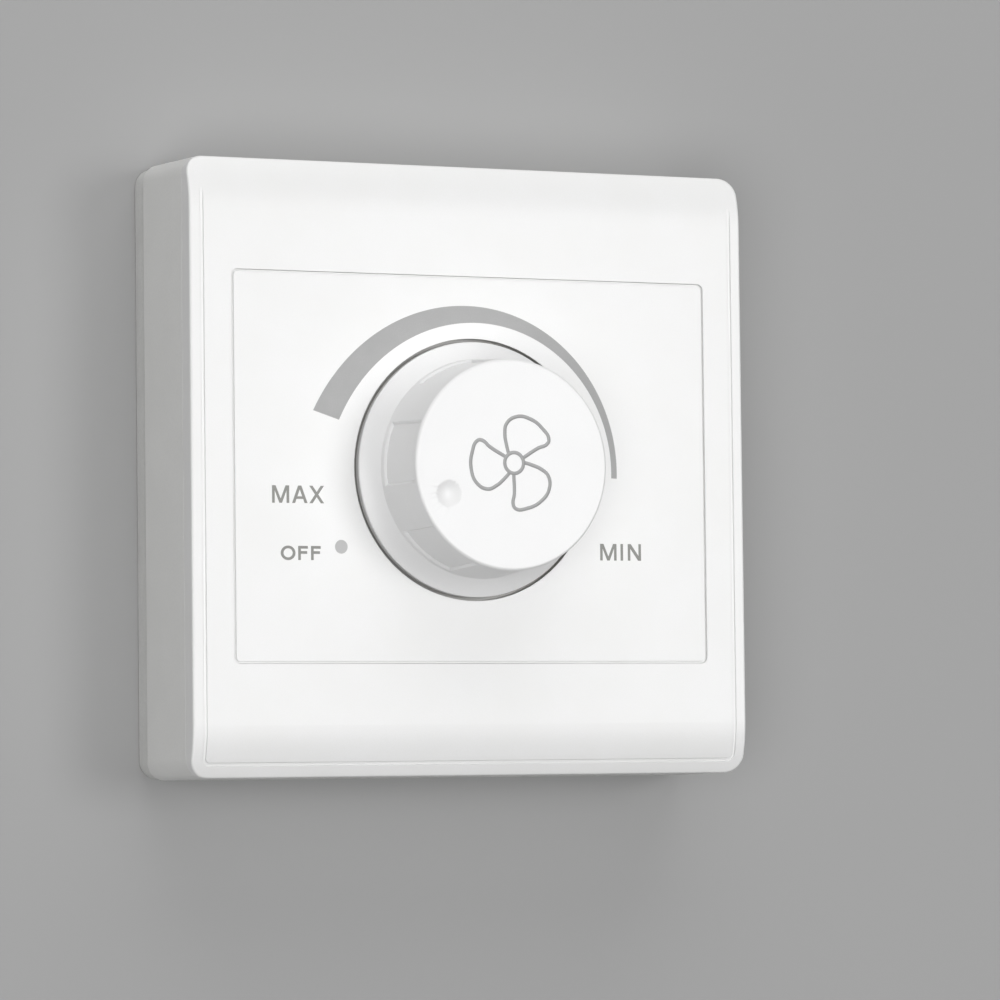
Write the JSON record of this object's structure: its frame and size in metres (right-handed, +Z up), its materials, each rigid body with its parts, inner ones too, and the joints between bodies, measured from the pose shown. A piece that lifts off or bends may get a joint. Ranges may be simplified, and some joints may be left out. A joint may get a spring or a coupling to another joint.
{
  "type": "rotary fan speed control switch",
  "caption": "Square surface-mount wall switch with a round skirted speed knob, curved front cover and dimmer circuit inside.",
  "frame": {"origin": "centre of the flat face that lies on the wall", "axes": "+Z up, +X to the right seen from the front, -Y out of the wall towards the person"},
  "size_m": [0.0864, 0.0322, 0.0864],
  "materials": {
    "cover_white": "satin",
    "knob_white": "satin",
    "case_white": "matte",
    "chassis_grey": "matte",
    "zinc_steel": "satin",
    "spring_steel": "satin",
    "shaft_aluminium": "satin",
    "sink_aluminium": "satin",
    "brass": "satin",
    "phenolic_brown": "matte",
    "board_laminate": "satin",
    "moulding_black": "matte",
    "film_yellow": "satin",
    "dipped_red": "satin",
    "ferrite_grey": "matte",
    "copper_wire": "gloss",
    "resistor_blue": "satin",
    "terminal_green": "satin",
    "fuse_brown": "satin"
  },
  "bodies": {
    "casing": {"wall_plate": "case_white", "housing": "case_white", "chassis": "chassis_grey", "front_cover": "cover_white", "centre_plate": "cover_white", "pot_can": "zinc_steel", "pot_bushing": "brass", "pot_washer": "zinc_steel", "pot_nut": "zinc_steel", "pot_wafer": "phenolic_brown", "pot_terminal_1": "brass", "pot_terminal_2": "brass", "pot_terminal_3": "brass", "click_switch": "moulding_black", "circuit_board": "board_laminate", "film_capacitor": "film_yellow", "timing_capacitor": "dipped_red", "fuse": "fuse_brown", "choke_core": "ferrite_grey", "choke_winding": "copper_wire", "resistor_1": "resistor_blue", "resistor_2": "resistor_blue", "heat_sink": "sink_aluminium", "triac": "moulding_black", "triac_screw": "zinc_steel", "terminal_block": "terminal_green", "terminal_screw_1": "zinc_steel", "terminal_screw_2": "zinc_steel", "threaded_insert_upper": "brass", "threaded_insert_lower": "brass", "chassis_screw_upper": "zinc_steel", "chassis_screw_lower": "zinc_steel", "case_screw_1": "zinc_steel", "board_screw_1": "zinc_steel", "case_screw_2": "zinc_steel", "board_screw_2": "zinc_steel", "case_screw_3": "zinc_steel", "board_screw_3": "zinc_steel", "case_screw_4": "zinc_steel", "board_screw_4": "zinc_steel"},
    "dial": {"knob": "knob_white", "knob_spring": "spring_steel", "pot_shaft": "shaft_aluminium", "pot_rotor": "moulding_black"}
  },
  "joints": [
    {"name": "knob_turn", "type": "hinge", "parent": "casing", "child": "dial", "pos_m": [0, -0.02, 0], "axis": [0, 1, 0], "range_deg": [0, 230]}
  ]
}
